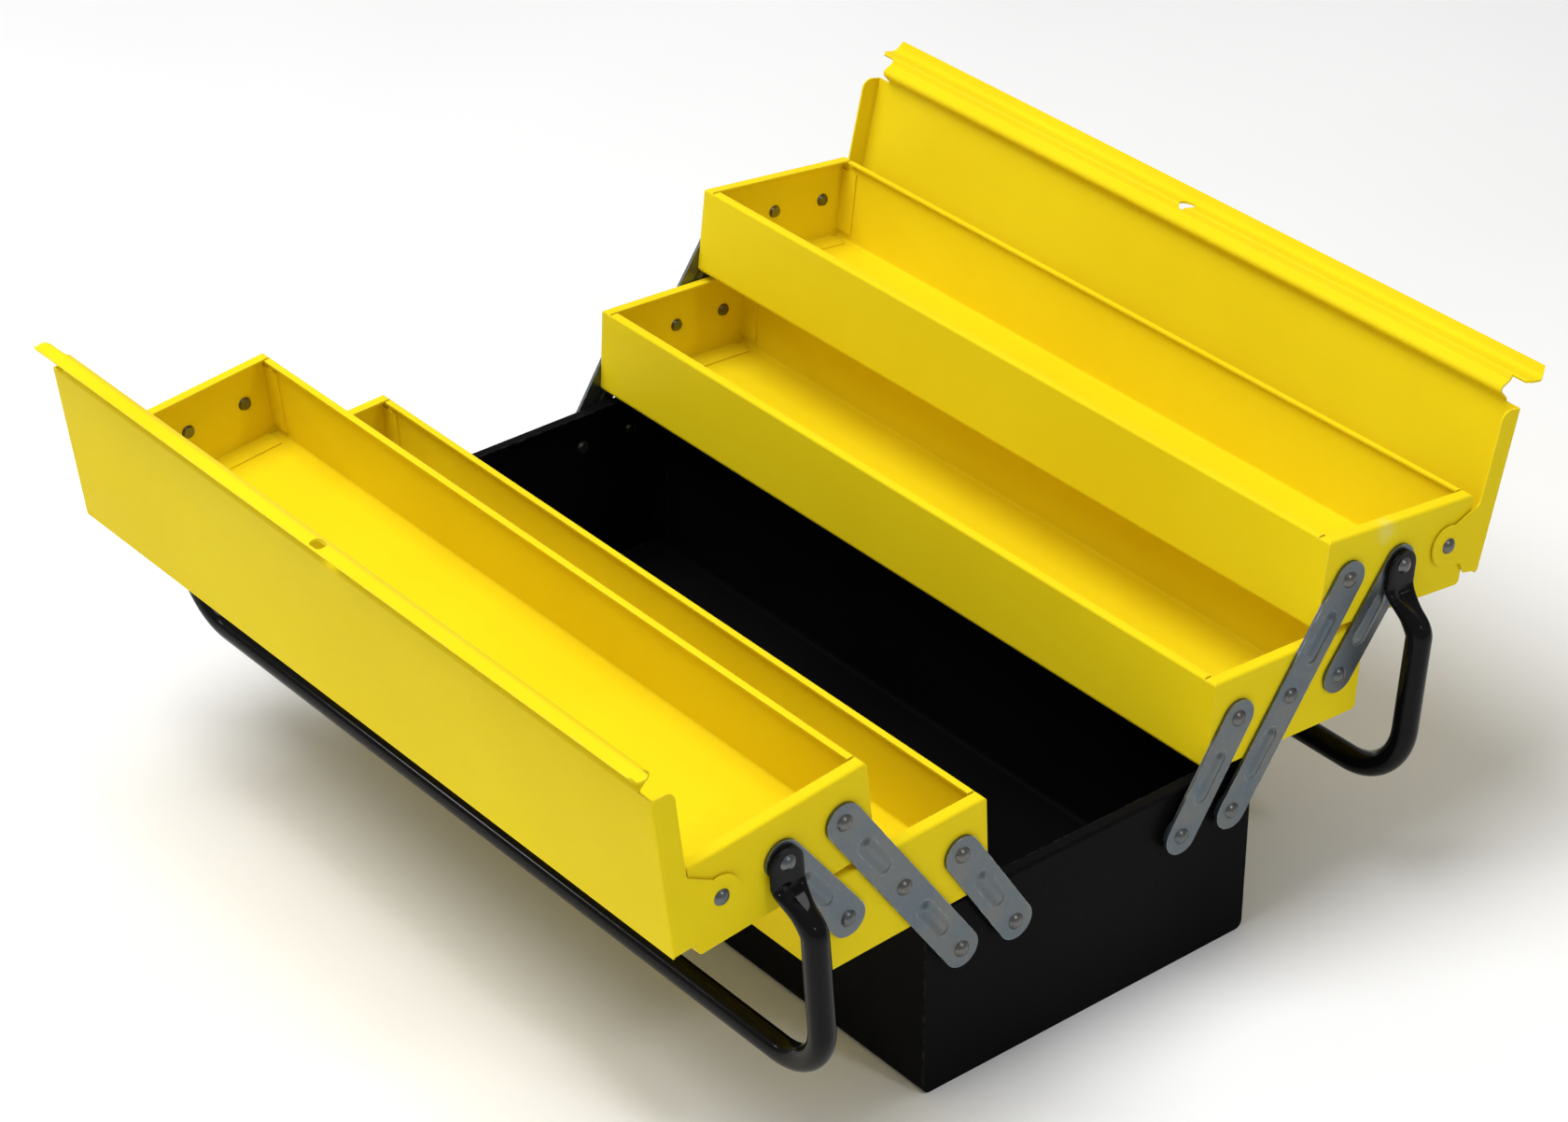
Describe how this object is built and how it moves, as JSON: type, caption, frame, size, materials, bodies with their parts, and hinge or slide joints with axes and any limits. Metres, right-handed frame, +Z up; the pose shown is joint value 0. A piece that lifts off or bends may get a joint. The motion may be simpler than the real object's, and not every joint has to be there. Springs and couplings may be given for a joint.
{
  "type": "cantilever tool box",
  "caption": "Open sheet-steel box whose tiered trays swing out to both sides on riveted links, with hinged lids, hasp holes and tubular carrying handles.",
  "frame": {"origin": "middle of the base's underside", "axes": "+X along the box, +Y towards the rear tray stack, +Z up"},
  "size_m": [0.485, 0.5129, 0.2352],
  "materials": {
    "tray_paint": "gloss powder coat, yellow",
    "base_paint": "satin black powder coat",
    "handle_paint": "gloss black enamel",
    "link_zinc": "bright zinc plate",
    "rivet_steel": "zinc-plated rivet"
  },
  "bodies": {
    "base": {"base_trough": "base_paint", "base_end_right": "base_paint", "base_end_left": "base_paint", "base_spacers": "link_zinc", "base_rivets": "rivet_steel"},
    "long_links_rear": {"long_link_rear_right": "link_zinc", "long_link_rear_left": "link_zinc"},
    "inner_links_rear": {"inner_link_rear_right": "link_zinc", "inner_link_rear_left": "link_zinc"},
    "outer_links_rear": {"outer_link_rear_right": "link_zinc", "outer_link_rear_left": "link_zinc", "handle_pins_rear": "rivet_steel"},
    "lower_tray_rear": {"lower_trough_rear": "tray_paint", "lower_end_rear_right": "tray_paint", "lower_end_rear_left": "tray_paint", "lower_rivets_rear": "rivet_steel"},
    "upper_tray_rear": {"upper_trough_rear": "tray_paint", "upper_end_rear_right": "tray_paint", "upper_end_rear_left": "tray_paint", "upper_rivets_rear": "rivet_steel"},
    "lid_rear": {"lid_rear": "tray_paint"},
    "handle_rear": {"handle_rear": "handle_paint"},
    "long_links_front": {"long_link_front_right": "link_zinc", "long_link_front_left": "link_zinc"},
    "inner_links_front": {"inner_link_front_right": "link_zinc", "inner_link_front_left": "link_zinc"},
    "outer_links_front": {"outer_link_front_right": "link_zinc", "outer_link_front_left": "link_zinc", "handle_pins_front": "rivet_steel"},
    "lower_tray_front": {"lower_trough_front": "tray_paint", "lower_end_front_right": "tray_paint", "lower_end_front_left": "tray_paint", "lower_rivets_front": "rivet_steel"},
    "upper_tray_front": {"upper_trough_front": "tray_paint", "upper_end_front_right": "tray_paint", "upper_end_front_left": "tray_paint", "upper_rivets_front": "rivet_steel"},
    "lid_front": {"lid_front": "tray_paint"},
    "handle_front": {"handle_front": "handle_paint"}
  },
  "joints": [
    {"name": "swing_rear", "type": "hinge", "parent": "base", "child": "long_links_rear", "pos_m": [0, 0.079, 0.0735], "axis": [1, 0, 0], "range_deg": [0, 68.42]},
    {"name": "lower_tray_rear", "type": "hinge", "parent": "long_links_rear", "child": "lower_tray_rear", "pos_m": [0, 0.11149, 0.1205], "axis": [1, 0, 0], "range_deg": [-65.43, 0]},
    {"name": "upper_tray_rear", "type": "hinge", "parent": "long_links_rear", "child": "upper_tray_rear", "pos_m": [0, 0.14398, 0.16749], "axis": [1, 0, 0], "range_deg": [-61.83, 0]},
    {"name": "inner_link_rear", "type": "hinge", "parent": "lower_tray_rear", "child": "inner_links_rear", "pos_m": [0, 0.07979, 0.12216], "axis": [1, 0, 0], "range_deg": [0, 64.54]},
    {"name": "outer_link_rear", "type": "hinge", "parent": "lower_tray_rear", "child": "outer_links_rear", "pos_m": [0, 0.14163, 0.11892], "axis": [1, 0, 0], "range_deg": [0, 66.47]},
    {"name": "handle_rear", "type": "hinge", "parent": "outer_links_rear", "child": "handle_rear", "pos_m": [0, 0.17552, 0.16384], "axis": [1, 0, 0], "range_deg": [-4, 126]},
    {"name": "lid_rear", "type": "hinge", "parent": "upper_tray_rear", "child": "lid_rear", "pos_m": [0, 0.20706, 0.16019], "axis": [1, 0, 0], "range_deg": [0, 96.9]},
    {"name": "swing_front", "type": "hinge", "parent": "base", "child": "long_links_front", "pos_m": [0, -0.079, 0.0735], "axis": [-1, 0, 0], "range_deg": [0, 68.42]},
    {"name": "lower_tray_front", "type": "hinge", "parent": "long_links_front", "child": "lower_tray_front", "pos_m": [0, -0.11149, 0.1205], "axis": [-1, 0, 0], "range_deg": [-65.43, 0]},
    {"name": "upper_tray_front", "type": "hinge", "parent": "long_links_front", "child": "upper_tray_front", "pos_m": [0, -0.14398, 0.16749], "axis": [-1, 0, 0], "range_deg": [-61.83, 0]},
    {"name": "inner_link_front", "type": "hinge", "parent": "lower_tray_front", "child": "inner_links_front", "pos_m": [0, -0.07979, 0.12216], "axis": [-1, 0, 0], "range_deg": [0, 64.54]},
    {"name": "outer_link_front", "type": "hinge", "parent": "lower_tray_front", "child": "outer_links_front", "pos_m": [0, -0.14163, 0.11892], "axis": [-1, 0, 0], "range_deg": [0, 66.47]},
    {"name": "handle_front", "type": "hinge", "parent": "outer_links_front", "child": "handle_front", "pos_m": [0, -0.17552, 0.16384], "axis": [-1, 0, 0], "range_deg": [-4, 126]},
    {"name": "lid_front", "type": "hinge", "parent": "upper_tray_front", "child": "lid_front", "pos_m": [0, -0.20706, 0.16019], "axis": [-1, 0, 0], "range_deg": [0, 90.4]}
  ],
  "couplings": [
    {"joint": "lower_tray_rear", "follows": "swing_rear", "ratio": -0.95615},
    {"joint": "upper_tray_rear", "follows": "swing_rear", "ratio": -0.90354},
    {"joint": "inner_link_rear", "follows": "swing_rear", "ratio": 0.94315},
    {"joint": "outer_link_rear", "follows": "swing_rear", "ratio": 0.9714},
    {"joint": "lower_tray_front", "follows": "swing_front", "ratio": -0.95615},
    {"joint": "upper_tray_front", "follows": "swing_front", "ratio": -0.90354},
    {"joint": "inner_link_front", "follows": "swing_front", "ratio": 0.94315},
    {"joint": "outer_link_front", "follows": "swing_front", "ratio": 0.9714}
  ]
}
